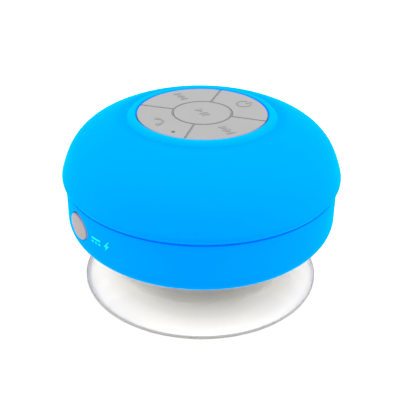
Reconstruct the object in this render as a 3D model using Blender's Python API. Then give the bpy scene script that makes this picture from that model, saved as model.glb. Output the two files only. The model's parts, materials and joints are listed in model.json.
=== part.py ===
"""Suction-cup shower speaker: a squat round speaker in a two-piece silicone skin,
with five keys on top, a charging port with a rubber plug, a downward-facing driver
behind a ring of sound holes, and a clear suction cup that it turns on.

Frame: +Z up, origin on the plane of the cup's rim, on the axis. -Y is the side of
the charging port, +Y the side of the power key. All sizes below are millimetres and
are turned into metres when a mesh is made.
"""

import math

import bmesh
import bpy
from mathutils import Matrix, Vector

MM = 0.001

# ---------------------------------------------------------------- driving sizes
SEG = 52                 # facets round the large turned pieces
GAP = 0.3                # air between neighbouring solids

BODY_R = 42.7            # widest radius of the silicone dome
WIDEST_Z = 37.2
WALL_R = 41.65           # straight side below the seam
SEAM_Z = 34.9
LIP_Z = 55.7             # top of the collar round the keypad
BASE_RIM_R = 34.0        # where the lower skin ends underneath
CORNER_R, CORNER_H = 10.65, 8.0    # elliptical corner between side and base
CORNER_Z = 24.0
SKIN = 1.6               # silicone wall
SHELL = 1.8              # moulded shell wall

CUP_R = 37.4             # suction cup rim
NECK_R = 26.4
NECK_TOP = 13.9
HUB_R = 20.0
HUB_BOTTOM = 7.9

KEYPAD_R = 19.5
CENTRE_KEY_R = 8.6
KEY_SLOT = 0.4           # gap between neighbouring keys
KEY_TOP = 55.5
KEY_UNDER = 53.9
KEY_ORBIT = 14.0         # radius of the outer keys' plungers
PLUNGER_R = 2.0
PLUNGER_TIP = 50.1

DECK_TOP, DECK_UNDER = 51.9, 50.2
PCB_TOP, PCB_UNDER = 46.6, 45.0
PCB_R = 19.0

PLATE_UNDER, PLATE_TOP = 15.0, 17.0
PLATE_R = 33.6
HOLE_RING_R = 30.2
SOUND_HOLE_R = 1.15
SOUND_HOLES = 28

BAFFLE_UNDER, BAFFLE_TOP = 20.0, 21.8
DRIVER_OPENING_R = 18.0

SHELL_SPLIT = 34.2       # top of the lower shell's rim
BOSS_XY = 20.15          # shell screws stand at (+-BOSS_XY, +-BOSS_XY)

PORT_Z = 28.4
PORT_A, PORT_B = 5.2, 3.7          # plug's half width and half height
SOCKET_X = -0.8
LEG_X = 4.4

MIC_X, MIC_Y = 7.9, -14.4
KEYPAD_TURN = -2.8       # degrees the keypad is turned against the port


# ---------------------------------------------------------------- helpers
for old in list(bpy.data.objects):
    bpy.data.objects.remove(old, do_unlink=True)

MATERIALS = {}


def material(name, rgb, roughness=0.5, metallic=0.0):
    m = bpy.data.materials.new(name)
    m.use_nodes = True
    shader = m.node_tree.nodes["Principled BSDF"]
    shader.inputs["Base Color"].default_value = (*rgb, 1.0)
    shader.inputs["Roughness"].default_value = roughness
    shader.inputs["Metallic"].default_value = metallic
    m.diffuse_color = (*rgb, 1.0)
    MATERIALS[name] = m
    return m


material("blue_silicone", (0.0, 0.40, 0.95), 0.45)
material("grey_silicone", (0.48, 0.48, 0.48), 0.55)
material("clear_pvc", (0.92, 0.93, 0.93), 0.08)
material("grey_abs", (0.55, 0.56, 0.57), 0.4)
material("frosted_abs", (0.80, 0.81, 0.82), 0.35)
material("dark_abs", (0.05, 0.05, 0.055), 0.5)
material("steel", (0.62, 0.62, 0.63), 0.3, 1.0)
material("ferrite", (0.06, 0.06, 0.065), 0.7)
material("pcb_green", (0.02, 0.16, 0.08), 0.4)
material("black_epoxy", (0.02, 0.02, 0.022), 0.35)
material("paper_cone", (0.08, 0.08, 0.085), 0.85)
material("black_rubber", (0.03, 0.03, 0.03), 0.6)
material("copper", (0.72, 0.36, 0.2), 0.35, 1.0)
material("battery_wrap", (0.75, 0.75, 0.78), 0.3)
material("nylon", (0.85, 0.85, 0.82), 0.5)
material("mesh_cloth", (0.04, 0.04, 0.045), 0.9)


def link(name, mesh, mat):
    obj = bpy.data.objects.new(name, mesh)
    bpy.context.scene.collection.objects.link(obj)
    if mat:
        mesh.materials.append(MATERIALS[mat])
    return obj


def finish(bm, name, mat, smooth=35):
    bmesh.ops.remove_doubles(bm, verts=bm.verts, dist=1e-6)
    bmesh.ops.recalc_face_normals(bm, faces=bm.faces)
    mesh = bpy.data.meshes.new(name)
    bm.to_mesh(mesh)
    bm.free()
    mesh.shade_smooth()
    mesh.set_sharp_from_angle(angle=math.radians(smooth))
    return link(name, mesh, mat)


def turned(name, profile, mat=None, seg=SEG, centre=(0, 0), z0=0.0):
    """Solid of revolution about a vertical axis. profile is a closed loop of (radius,
    height); points on the axis close the solid there."""
    bm = bmesh.new()
    pts = [(max(r, 0.0), z) for r, z in profile]
    on_axis = [r < 1e-9 for r, _ in pts]
    verts = [bm.verts.new(Vector((r, 0, z + z0)) * MM) for r, z in pts]
    edges = []
    for i in range(len(pts)):
        j = (i + 1) % len(pts)
        if on_axis[i] and on_axis[j]:
            continue
        edges.append(bm.edges.new((verts[i], verts[j])))
    bmesh.ops.spin(bm, geom=verts + edges, cent=(0, 0, 0), axis=(0, 0, 1),
                   dvec=(0, 0, 0), angle=2 * math.pi, steps=seg, use_merge=True)
    obj = finish(bm, name, mat)
    obj.location = Vector((centre[0], centre[1], 0)) * MM
    return obj


def rod(name, r, z_low, z_high, centre=(0, 0), mat=None, seg=16):
    return turned(name, [(0, z_low), (r, z_low), (r, z_high), (0, z_high)], mat, seg, centre)


def block(name, low, high, mat=None, bevel=0.0):
    bm = bmesh.new()
    bmesh.ops.create_cube(bm, size=1.0)
    size = Vector(high) - Vector(low)
    mid = (Vector(high) + Vector(low)) / 2
    bmesh.ops.scale(bm, vec=size * MM, verts=bm.verts)
    bmesh.ops.translate(bm, vec=mid * MM, verts=bm.verts)
    if bevel:
        bmesh.ops.bevel(bm, geom=list(bm.edges), offset=bevel * MM, segments=1,
                        affect="EDGES", profile=0.5)
    return finish(bm, name, mat, 20)


def prism(name, outline, z_low, z_high, mat=None, bevel=0.0):
    """Upright extrusion of a closed outline of (x, y)."""
    bm = bmesh.new()
    face = bm.faces.new([bm.verts.new(Vector((x, y, z_low)) * MM) for x, y in outline])
    out = bmesh.ops.extrude_face_region(bm, geom=[face])
    up = [g for g in out["geom"] if isinstance(g, bmesh.types.BMVert)]
    bmesh.ops.translate(bm, vec=(0, 0, (z_high - z_low) * MM), verts=up)
    if bevel:
        bm.edges.ensure_lookup_table()
        top = [e for e in bm.edges
               if all(abs(v.co.z - z_high * MM) < 1e-7 for v in e.verts)]
        bmesh.ops.bevel(bm, geom=top, offset=bevel * MM, segments=1, affect="EDGES",
                        profile=0.5)
    return finish(bm, name, mat, 30)


def helper(obj):
    obj.hide_render = True
    obj.display_type = "WIRE"
    return obj


def merged(name, *objs):
    """Several helper solids in one mesh, so one Boolean can use them all."""
    bm = bmesh.new()
    for o in objs:
        part = o.data.copy()
        part.transform(o.matrix_basis)
        bm.from_mesh(part)
        bpy.data.meshes.remove(part)
    mesh = bpy.data.meshes.new(name)
    bm.to_mesh(mesh)
    bm.free()
    for o in objs:
        bpy.data.objects.remove(o, do_unlink=True)
    return helper(link(name, mesh, None))


def boolean(obj, other, operation):
    m = obj.modifiers.new(operation.lower(), "BOOLEAN")
    m.operation = operation
    m.solver = "EXACT"
    m.object = other
    helper(other)
    return obj


def add(obj, other):
    return boolean(obj, other, "UNION")


def cut(obj, other):
    return boolean(obj, other, "DIFFERENCE")


def offset_path(path, distance):
    """The open path moved sideways, to its right as it runs, by mitred offsetting."""
    out = []
    for i, p in enumerate(path):
        a = path[max(i - 1, 0)]
        b = path[min(i + 1, len(path) - 1)]
        normals = []
        for s, e in ((a, p), (p, b)):
            dx, dz = e[0] - s[0], e[1] - s[1]
            length = math.hypot(dx, dz)
            if length > 1e-9:
                normals.append((dz / length, -dx / length))
        nx = sum(n[0] for n in normals) / len(normals)
        nz = sum(n[1] for n in normals) / len(normals)
        k = distance / max(nx * nx + nz * nz, 0.3)
        out.append((p[0] + nx * k, p[1] + nz * k))
    return out


def height_at(path, r):
    for (r0, z0), (r1, z1) in zip(path, path[1:]):
        if min(r0, r1) <= r <= max(r0, r1) and abs(r1 - r0) > 1e-9:
            return z0 + (z1 - z0) * (r - r0) / (r1 - r0)
    return path[-1][1]


def at_angle(r, degrees):
    a = math.radians(degrees)
    return (r * math.cos(a), r * math.sin(a))


def smooth_route(points, count):
    """A smooth open curve through the points (Catmull-Rom), read at even steps."""
    p = [Vector(q) for q in points]
    p = [p[0] * 2 - p[1]] + p + [p[-1] * 2 - p[-2]]
    out = []
    spans = len(p) - 3
    for k in range(count):
        t = k / (count - 1) * spans
        i = min(int(t), spans - 1)
        u = t - i
        a, b, c, d = p[i], p[i + 1], p[i + 2], p[i + 3]
        out.append(0.5 * ((2 * b) + (c - a) * u + (2 * a - 5 * b + 4 * c - d) * u * u
                          + (3 * b - a - 3 * c + d) * u ** 3))
    return out


def cable(name, points, radius, mat, count=18):
    curve = bpy.data.curves.new(name, "CURVE")
    curve.dimensions = "3D"
    curve.bevel_depth = radius * MM
    curve.bevel_resolution = 2
    curve.use_fill_caps = True
    spline = curve.splines.new("POLY")
    route = smooth_route(points, count)
    spline.points.add(len(route) - 1)
    for point, co in zip(spline.points, route):
        point.co = (*(co * MM), 1.0)
    obj = bpy.data.objects.new(name, curve)
    bpy.context.scene.collection.objects.link(obj)
    curve.materials.append(MATERIALS[mat])
    return obj


# ---------------------------------------------------------------- silicone skin
# Dome, from the crease round the keypad collar down to the seam.
DOME = [(22.75, 54.7), (24.6, 54.65), (28.0, 53.5), (31.8, 51.9), (34.75, 50.2),
        (37.4, 48.05), (39.5, 45.45), (40.95, 42.7), (41.85, 40.25), (42.45, 38.3),
        (BODY_R, WIDEST_Z), (42.55, 36.2), (41.9, 35.5)]
# Side and base corner, from the seam down to the edge underneath.
SIDE = [(WALL_R, 34.3), (WALL_R, 30.0), (WALL_R, CORNER_Z)]
for deg in (18, 36, 54, 66, 73.6):
    a = math.radians(deg)
    SIDE.append((WALL_R - CORNER_R + CORNER_R * math.cos(a), CORNER_Z - CORNER_H * math.sin(a)))

coarse_dome = DOME[::2]
dome_inner = offset_path(coarse_dome, SKIN)
# keep the inner line monotonic under the tight turn above the seam
dome_inner = [p for p in dome_inner if p[1] > 37.0]
upper_profile = (
    [(19.9, 53.25), (19.9, 55.35), (20.25, LIP_Z), (21.6, 55.6), (22.25, 55.1)]
    + DOME
    + [(41.5, 35.15), (40.05, 35.15), (40.05, 37.0)]
    + [p for p in reversed(dome_inner)]
)
upper_profile = upper_profile[:-1] + [(22.9, 53.25)]
turned("upper_sleeve", upper_profile, "blue_silicone")

side_inner = offset_path(SIDE, SKIN)
side_inner[-1] = (BASE_RIM_R, 17.95)
lower_profile = ([(40.05, 34.65), (41.35, 34.65)] + SIDE + list(reversed(side_inner))[:-1]
                 + [(40.05, 30.0)])
lower_profile = [p for i, p in enumerate(lower_profile)
                 if p not in lower_profile[:i]]
lower_sleeve = turned("lower_sleeve", lower_profile, "blue_silicone")


def port_oval(grow, y_from, y_to, name):
    """An oval of the port plug's shape, lying along Y between y_from and y_to."""
    n = 28
    outline = [((PORT_A + grow) * math.cos(2 * math.pi * k / n),
                (PORT_B + grow) * math.sin(2 * math.pi * k / n)) for k in range(n)]
    obj = prism(name, outline, -y_to, -y_from)
    obj.data.transform(Matrix.Rotation(math.radians(90), 4, "X"))
    obj.data.transform(Matrix.Translation(Vector((0, 0, PORT_Z)) * MM))
    return obj


cut(lower_sleeve, port_oval(0.35, -44.0, -36.0, "cut_port_in_sleeve"))

# ---------------------------------------------------------------- moulded shells
shell_out_upper = [p for p in offset_path(coarse_dome, SKIN + GAP) if p[1] > 37.5]
shell_in_upper = [p for p in offset_path(coarse_dome, SKIN + GAP + SHELL) if p[1] > 38.5]
upper_shell_profile = (
    [(0, DECK_TOP), (20.3, DECK_TOP), (20.3, 52.9), (22.6, 52.9)]
    + [p for p in shell_out_upper if p[0] > 23.2]
    + [(39.75, 36.5), (39.75, SHELL_SPLIT + 0.4), (36.9, SHELL_SPLIT + 0.4),
       (36.9, 37.0), (37.9, 38.2)]
    + [p for p in reversed(shell_in_upper) if p[0] > 24.0 and p[1] > 39.5]
    + [(22.6, DECK_UNDER), (0, DECK_UNDER)]
)
upper_shell = turned("upper_shell", upper_shell_profile, "dark_abs", 36)

boss_at = [(BOSS_XY, BOSS_XY), (-BOSS_XY, BOSS_XY), (-BOSS_XY, -BOSS_XY), (BOSS_XY, -BOSS_XY)]
post_at = [(11.2, 11.2), (-11.2, -11.2)]
pin_at = [(-11.2, 11.2)]
add(upper_shell, merged(
    "add_upper_bosses",
    *[rod("b", 3.2, SHELL_SPLIT + 0.4, 48.9, c, seg=14) for c in boss_at],
    *[rod("p", 2.2, PCB_TOP + GAP, DECK_UNDER + 0.6, c, seg=12) for c in post_at],
    *[rod("q", 2.0, PCB_TOP + GAP, DECK_UNDER + 0.6, c, seg=12) for c in pin_at]))
key_mid = {"power": 90 + KEYPAD_TURN, "next": KEYPAD_TURN, "phone": 270 + KEYPAD_TURN,
           "prev": 180 + KEYPAD_TURN}
key_at = {"play": (0, 0)}
key_at.update({name: at_angle(KEY_ORBIT, deg) for name, deg in key_mid.items()})
cut(upper_shell, merged(
    "cut_upper_holes",
    *[rod("k", PLUNGER_R + 0.4, DECK_UNDER - 1, DECK_TOP + 1, c, seg=14) for c in key_at.values()],
    *[rod("s", 1.55, SHELL_SPLIT - 1, 44.0, c, seg=10) for c in boss_at],
    *[rod("t", 1.1, PCB_TOP - 1, 49.8, c, seg=8) for c in post_at],
    rod("m", 0.8, DECK_UNDER - 1, DECK_TOP + 1, (MIC_X, MIC_Y), seg=8)))

corner_out = offset_path(SIDE, SKIN + GAP)
lower_shell_profile = (
    [(39.75, SHELL_SPLIT), (39.75, CORNER_Z)]
    + [p for p in corner_out if p[1] < 23.0 and p[0] > 34.6]
    + [(33.68, 18.25), (33.68, 17.7), (32.0, 17.7), (32.0, BAFFLE_UNDER), (DRIVER_OPENING_R, BAFFLE_UNDER),
       (DRIVER_OPENING_R, BAFFLE_TOP), (35.6, BAFFLE_TOP), (37.3, 23.2), (37.95, 25.4),
       (37.95, 30.3), (36.6, 31.6), (36.6, SHELL_SPLIT), (37.5, SHELL_SPLIT),
       (37.5, 32.9), (38.8, 32.9), (38.8, SHELL_SPLIT)]
)
lower_shell = turned("lower_shell", lower_shell_profile, "dark_abs", 36)
plate_screw_at = [at_angle(23.0, d) for d in (90, 210, 330)]
add(lower_shell, merged(
    "add_lower_bosses",
    *[rod("b", 3.2, BAFFLE_TOP - 0.4, SHELL_SPLIT - 0.1, c, seg=14) for c in boss_at],
    *[rod("p", 2.8, PLATE_TOP + GAP, BAFFLE_UNDER + 0.5, c, seg=12) for c in plate_screw_at]))
socket_gap = block("cut_socket", (SOCKET_X - 4.05, -45.0, PORT_Z - 1.6),
                   (SOCKET_X + 4.05, -30.0, PORT_Z + 1.6))
cut(lower_shell, merged(
    "cut_lower_holes",
    *[rod("s", 1.55, BAFFLE_UNDER - 1, SHELL_SPLIT + 1, c, seg=10) for c in boss_at],
    *[rod("t", 1.5, PLATE_TOP - 1, 21.2, c, seg=10) for c in plate_screw_at]))
# The charging port's slot and the hole that the plug's leg runs in.
leg_hole = rod("leg", 0.85, 30.0, 45.0, seg=10)
leg_hole.data.transform(Matrix.Rotation(math.radians(90), 4, "X"))
leg_hole.location = Vector((LEG_X, 0, PORT_Z)) * MM
cut(lower_shell, merged("cut_port", socket_gap, leg_hole))

turned("shell_gasket", [(37.8, 33.2), (38.5, 33.2), (38.5, SHELL_SPLIT + 0.1),
                        (37.8, SHELL_SPLIT + 0.1)], "black_rubber", 40)


def screw(name, head_r, head_low, head_high, shank_r, shank_low, shank_high, at, mat="steel"):
    """A pan-head screw with a cross recess, head at either end of the shank."""
    if shank_high > head_high:      # driven upwards, head below
        profile = [(0, head_low), (head_r * 0.8, head_low), (head_r, head_low + 0.4),
                   (head_r, head_high), (shank_r, head_high), (shank_r, shank_high - 0.6),
                   (shank_r * 0.5, shank_high), (0, shank_high)]
        face, inward = head_low, 1
    else:                           # driven downwards, head above
        profile = [(0, shank_low), (shank_r * 0.5, shank_low), (shank_r, shank_low + 0.6),
                   (shank_r, head_low), (head_r, head_low), (head_r, head_high - 0.4),
                   (head_r * 0.8, head_high), (0, head_high)]
        face, inward = head_high, -1
    obj = turned(name, profile, mat, 12, at)
    w, l, d = head_r * 0.14, head_r * 0.55, 0.5
    z = sorted((face - 0.2 * inward, face + d * inward))
    outline = [(l, w), (w, w), (w, l), (-w, l), (-w, w), (-l, w), (-l, -w), (-w, -w),
               (-w, -l), (w, -l), (w, -w), (l, -w)]
    cross = prism("cut_" + name, outline, z[0], z[1])
    cross.location = Vector((at[0], at[1], 0)) * MM
    return cut(obj, cross)


for i, c in enumerate(boss_at, 1):
    screw(f"shell_screw_{i}", 2.3, 18.0, 19.7, 1.2, 19.7, 40.0, c)

# ---------------------------------------------------------------- base plate and sound holes
plate = turned("grille_plate", [
    (4.5, PLATE_UNDER), (32.0, PLATE_UNDER), (PLATE_R, 16.1), (PLATE_R, PLATE_TOP - 0.3),
    (PLATE_R - 0.3, PLATE_TOP), (4.5, PLATE_TOP)], "grey_abs", SEG)
cut(plate, merged(
    "cut_plate",
    *[rod("h", SOUND_HOLE_R, PLATE_UNDER - 1, PLATE_TOP + 1,
          at_angle(HOLE_RING_R, 360 / SOUND_HOLES * (k + 0.5)), seg=8) for k in range(SOUND_HOLES)],
    *[turned("s", [(0, PLATE_UNDER - 1), (2.4, PLATE_UNDER - 1), (2.4, 16.2), (1.5, 16.2),
                   (1.5, PLATE_TOP + 1), (0, PLATE_TOP + 1)], None, 12, c)
      for c in plate_screw_at]))
for i, c in enumerate(plate_screw_at, 1):
    screw(f"plate_screw_{i}", 2.0, 15.15, 15.9, 1.1, 15.9, 20.9, c)
turned("grille_membrane", [(28.4, PLATE_TOP + GAP), (31.6, PLATE_TOP + GAP),
                           (31.6, PLATE_TOP + GAP + 0.35), (28.4, PLATE_TOP + GAP + 0.35)],
       "mesh_cloth", 40)

# ---------------------------------------------------------------- suction cup and its swivel
turned("suction_cup", [
    (0, 7.6), (HUB_R + 0.3, 7.6), (HUB_R + 0.3, 9.2), (21.6, 9.5), (21.6, 11.3),
    (HUB_R + 0.3, 11.6), (HUB_R + 0.3, NECK_TOP), (NECK_R - 0.3, NECK_TOP),
    (NECK_R, 13.5), (NECK_R, 9.6), (NECK_R + 0.4, 7.8), (28.0, 5.7), (30.2, 3.9),
    (33.2, 2.3), (36.4, 1.25), (CUP_R, 0.9), (CUP_R, 0.3), (CUP_R - 0.25, 0.0),
    (35.3, 0.0), (33.4, 0.35), (28.5, 1.8), (21.0, 4.0), (14.0, 5.3), (0, 5.8)],
    "clear_pvc", 48)
hub = turned("cup_hub", [
    (0, HUB_BOTTOM), (HUB_R - 0.6, HUB_BOTTOM), (HUB_R, HUB_BOTTOM + 0.6), (HUB_R, 9.6),
    (21.2, 9.9), (21.2, 10.9), (HUB_R, 11.2), (HUB_R, 13.5), (HUB_R - 0.4, NECK_TOP),
    (4.0, NECK_TOP), (4.0, 17.1), (3.7, 17.4), (1.5, 17.4), (1.5, 9.6), (0, 9.6)],
    "frosted_abs", 40)
turned("glide_washer", [(4.6, 14.2), (12.0, 14.2), (12.0, 14.7), (4.6, 14.7)], "nylon", 32)
turned("pivot_washer", [(1.6, 17.7), (7.4, 17.7), (7.4, 18.5), (1.6, 18.5)], "steel", 24)
screw("pivot_screw", 3.2, 18.8, 20.4, 1.2, 10.2, 18.8, (0, 0))

# ---------------------------------------------------------------- keys
mem_holes = merged(
    "cut_membrane",
    *[rod("k", PLUNGER_R + 0.4, 51.0, 54.0, c, seg=14) for c in key_at.values()],
    rod("m", 0.8, 51.0, 54.0, (MIC_X, MIC_Y), seg=8))
cut(turned("keypad_membrane", [(0, DECK_TOP + GAP), (19.9, DECK_TOP + GAP),
                               (19.9, 52.95), (0, 52.95)], "grey_silicone", SEG), mem_holes)


def arc(r, a0, a1, n):
    return [at_angle(r, a0 + (a1 - a0) * k / n) for k in range(n + 1)]


def sector(mid, r_in, r_out, half_gap):
    """A quarter ring about the direction mid, with straight ends set back by half_gap."""
    lo, hi = mid - 45, mid + 45
    d_out = math.degrees(math.asin(half_gap / r_out))
    d_in = math.degrees(math.asin(half_gap / r_in))
    return (arc(r_out, lo + d_out, hi - d_out, 14) + arc(r_in, hi - d_in, lo + d_in, 8))


for name, c in key_at.items():
    if name == "play":
        cap = prism("key_play", [at_angle(CENTRE_KEY_R, 360 * k / 32) for k in range(32)],
                    KEY_UNDER, KEY_TOP, "grey_silicone", 0.25)
    else:
        cap = prism(f"key_{name}", sector(key_mid[name], CENTRE_KEY_R + KEY_SLOT, KEYPAD_R,
                                          KEY_SLOT / 2),
                    KEY_UNDER, KEY_TOP, "grey_silicone", 0.25)
    add(cap, helper(rod(f"add_plunger_{name}", PLUNGER_R, PLUNGER_TIP, KEY_UNDER + 0.5, c, seg=14)))
    if name == "phone":
        cut(cap, helper(rod("cut_mic_in_key", 0.65, 53.0, 56.5, (MIC_X, MIC_Y), seg=12)))

# ---------------------------------------------------------------- main board
pcb = turned("main_pcb", [(0, PCB_UNDER), (PCB_R, PCB_UNDER), (PCB_R, PCB_TOP), (0, PCB_TOP)],
             "pcb_green", 40)
cut(pcb, merged("cut_pcb", *[rod("h", 1.1, PCB_UNDER - 1, PCB_TOP + 1, c, seg=10)
                             for c in post_at]))
for i, c in enumerate(post_at, 1):
    screw(f"pcb_screw_{i}", 1.9, 43.4, 44.7, 0.8, 44.7, 49.4, c)
for name, (x, y) in key_at.items():
    body_top = 48.4
    block(f"switch_{name}", (x - 2.6, y - 2.6, PCB_TOP + GAP), (x + 2.6, y + 2.6, body_top),
          "black_epoxy", 0.2)
    rod(f"stem_{name}", 1.5, body_top + GAP, body_top + GAP + 0.75, (x, y), "nylon", 14)
block("microphone", (MIC_X - 1.9, MIC_Y - 1.4, PCB_TOP + GAP), (MIC_X + 1.9, MIC_Y + 1.4, 48.0),
      "steel", 0.15)
block("radio_chip", (-4.0, -9.5, 43.5), (4.0, -3.0, PCB_UNDER - GAP), "black_epoxy", 0.15)

# ---------------------------------------------------------------- charging port
usb = block("usb_socket", (SOCKET_X - 3.75, -38.6, PORT_Z - 1.3),
            (SOCKET_X + 3.75, -33.6, PORT_Z + 1.3), "steel")
mouth = block("cut_mouth", (SOCKET_X - 3.4, -40.0, PORT_Z - 0.95),
              (SOCKET_X + 3.4, -34.4, PORT_Z + 0.95))
cut(usb, mouth)
block("usb_board", (SOCKET_X - 6.0, -36.6, PORT_Z - 2.6), (SOCKET_X + 6.0, -27.5, PORT_Z - 1.6),
      "pcb_green")
block("usb_bracket", (SOCKET_X - 5.0, -34.6, BAFFLE_TOP + GAP),
      (SOCKET_X + 5.0, -28.0, PORT_Z - 2.9), "dark_abs", 0.3)

plug = port_oval(0.0, -41.4, -40.1, "port_plug")
plug.data.materials.append(MATERIALS["grey_silicone"])
tongue = block("t", (SOCKET_X - 3.0, -40.6, PORT_Z - 0.6), (SOCKET_X + 3.0, -35.2, PORT_Z + 0.6))
boss = block("u", (SOCKET_X - 3.6, -40.6, PORT_Z - 1.2), (SOCKET_X + 3.6, -39.0, PORT_Z + 1.2))
leg = turned("l", [(0, 29.4), (0.9, 29.9), (1.15, 30.6), (0.5, 31.4), (0.5, 40.6), (0, 40.6)],
             None, 10)
leg.data.transform(Matrix.Rotation(math.radians(90), 4, "X"))
leg.location = Vector((LEG_X, 0, PORT_Z)) * MM
add(plug, helper(tongue))
add(plug, helper(boss))
add(plug, helper(leg))
tongue.name, boss.name, leg.name = "add_plug_tongue", "add_plug_boss", "add_plug_leg"

# ---------------------------------------------------------------- battery
tray = block("battery_tray", (25.4, -14.0, BAFFLE_TOP + GAP), (32.6, 14.0, 30.0), "dark_abs")
cut(tray, helper(block("cut_tray", (26.4, -13.0, 23.1), (31.6, 13.0, 40.0))))
block("battery", (26.7, -12.7, 23.4), (31.3, 12.7, 43.0), "battery_wrap", 0.8)

# ---------------------------------------------------------------- loudspeaker, facing down
turned("speaker_gasket", [(18.4, BAFFLE_TOP + GAP), (22.4, BAFFLE_TOP + GAP), (22.4, 22.7),
                          (18.4, 22.7)], "black_rubber", 32)
frame = turned("speaker_frame", [
    (18.6, 23.0), (22.5, 23.0), (22.5, 23.8), (20.4, 23.8), (14.6, 31.6), (11.6, 31.6),
    (11.6, 31.0), (14.0, 31.0), (18.6, 24.6)], "steel", 32)
cut(frame, merged("cut_frame", prism(
    "w", [(7.0, -3.6), (30.0, -7.0), (30.0, 7.0), (7.0, 3.6)], 25.4, 30.3)))
frame_windows = bpy.data.objects["cut_frame"]
ring = bmesh.new()
for k in range(4):
    part = frame_windows.data.copy()
    part.transform(Matrix.Rotation(math.radians(90 * k), 4, "Z"))
    ring.from_mesh(part)
    bpy.data.meshes.remove(part)
ring.to_mesh(frame_windows.data)
ring.free()

turned("speaker_top_plate", [(6.0, 31.9), (13.4, 31.9), (13.4, 33.0), (6.0, 33.0)], "steel", 32)
turned("speaker_magnet", [(7.4, 33.3), (14.6, 33.3), (14.6, 38.0), (7.4, 38.0)], "ferrite", 32)
turned("speaker_yoke", [(0, 32.0), (4.6, 32.0), (4.6, 38.3), (13.8, 38.3), (13.8, 39.9),
                        (0, 39.9)], "steel", 32)


def rolled(r_in, r_out, z_edge, sag, wall, n=6):
    """Section of a half-roll surround between two radii, hanging below its edges."""
    mid, half = (r_in + r_out) / 2, (r_out - r_in) / 2
    low = [(mid - half * math.cos(math.pi * k / n), z_edge - sag * math.sin(math.pi * k / n))
           for k in range(n + 1)]
    high = [(mid - (half - wall) * math.cos(math.pi * k / n) if 0 < k < n
             else (r_in if k == 0 else r_out),
             z_edge + wall - sag * math.sin(math.pi * k / n)) for k in range(n + 1)]
    return low + list(reversed(high))


turned("speaker_surround", rolled(15.3, 18.3, 22.9, 1.1, 0.5), "black_rubber", 32)
turned("speaker_spider", [(6.0, 30.1), (7.2, 29.8), (8.4, 30.1), (9.6, 29.8), (11.2, 30.1),
                          (11.2, 30.5), (9.6, 30.2), (8.4, 30.5), (7.2, 30.2), (6.0, 30.5)],
       "nylon", 24)
turned("speaker_cone", [(5.0, 28.5), (14.4, 22.5), (15.0, 22.5), (15.0, 23.2), (14.5, 23.3),
                        (5.6, 28.9), (5.0, 28.9)], "paper_cone", 32)
turned("voice_coil", [(5.0, 29.2), (5.5, 29.2), (5.5, 35.4), (5.0, 35.4)], "copper", 28)
turned("dust_cap", [(0, 24.9), (2.2, 25.2), (4.0, 25.9), (5.4, 26.9), (5.0, 27.2),
                    (3.8, 26.4), (2.0, 25.7), (0, 25.4)], "paper_cone", 24)

# ---------------------------------------------------------------- wiring
cable("battery_cable", [(29.0, 6.0, 43.5), (28.8, 6.0, 45.0), (26.4, 5.6, 45.9), (22.9, 5.2, 44.2),
                        (19.0, 4.9, 42.6), (16.4, 4.6, 42.8), (15.8, 4.5, 44.5)], 0.7,
      "black_rubber", 16)
cable("speaker_cable", [(0.6, 21.6, 24.3), (0.6, 22.4, 26.5), (0.4, 23.4, 31.0), (0, 22.6, 36.5),
                        (-0.4, 19.6, 40.6), (-0.6, 17.2, 42.6), (-0.6, 16.4, 44.5)], 0.7,
      "black_rubber", 16)
cable("usb_cable", [(SOCKET_X, -27.1, 26.3), (SOCKET_X, -25.4, 26.6), (-1.6, -24.2, 29.4),
                    (-3.4, -22.8, 34.0), (-4.6, -20.4, 39.4), (-4.8, -17.6, 42.2),
                    (-4.6, -16.0, 44.5)], 0.7, "black_rubber", 18)
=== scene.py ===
"""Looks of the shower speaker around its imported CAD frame."""

import json
import math

import bmesh
import bpy
from mathutils import Matrix, Vector


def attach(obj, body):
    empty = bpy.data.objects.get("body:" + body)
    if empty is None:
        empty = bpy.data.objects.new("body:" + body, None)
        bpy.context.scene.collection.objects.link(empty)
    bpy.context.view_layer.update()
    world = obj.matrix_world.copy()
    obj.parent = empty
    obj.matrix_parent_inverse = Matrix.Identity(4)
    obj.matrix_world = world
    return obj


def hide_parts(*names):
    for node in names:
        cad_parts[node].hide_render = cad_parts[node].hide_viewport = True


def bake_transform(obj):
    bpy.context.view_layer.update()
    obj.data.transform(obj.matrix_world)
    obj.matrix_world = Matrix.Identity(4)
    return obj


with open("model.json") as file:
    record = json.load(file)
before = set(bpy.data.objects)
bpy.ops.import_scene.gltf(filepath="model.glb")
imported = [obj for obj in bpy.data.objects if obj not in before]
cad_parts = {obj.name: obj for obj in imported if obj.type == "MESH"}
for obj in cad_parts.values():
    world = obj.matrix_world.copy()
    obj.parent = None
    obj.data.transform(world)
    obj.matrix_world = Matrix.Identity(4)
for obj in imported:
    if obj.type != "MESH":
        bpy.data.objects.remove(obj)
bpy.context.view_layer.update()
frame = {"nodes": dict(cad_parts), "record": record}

MM = 0.001

# ------------------------------------------------------------------ sizes (mm, as in the CAD)
BODY_R, WALL_R = 42.7, 41.65
CORNER_R, CORNER_H, CORNER_Z = 10.65, 8.0, 24.0
KEYPAD_TURN = -2.8
KEYPAD_R, CENTRE_KEY_R, KEY_SLOT = 19.5, 8.55, 0.56
KEY_TOP, KEY_UNDER = 55.5, 53.9
KEY_ORBIT = 14.0
PORT_Z, PORT_A, PORT_B = 28.4, 5.2, 3.7
SOCKET_X, LEG_X = -0.8, 4.4
MIC = (7.9, -14.4)
PLUNGER_TIP = 50.1
NECK_TOP, NECK_R, HUB_R, CUP_R = 13.9, 26.4, 20.0, 37.4
FLARE_Z = 8.0                        # where the neck turns into the flare
NECK_LOW, NECK_HIGH, NECK_SATIN = 4.0, 8.0, 0.45


# ------------------------------------------------------------------ materials
def nodes_of(mat):
    mat.use_nodes = True
    tree = mat.node_tree
    return tree, tree.nodes["Principled BSDF"]


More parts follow.
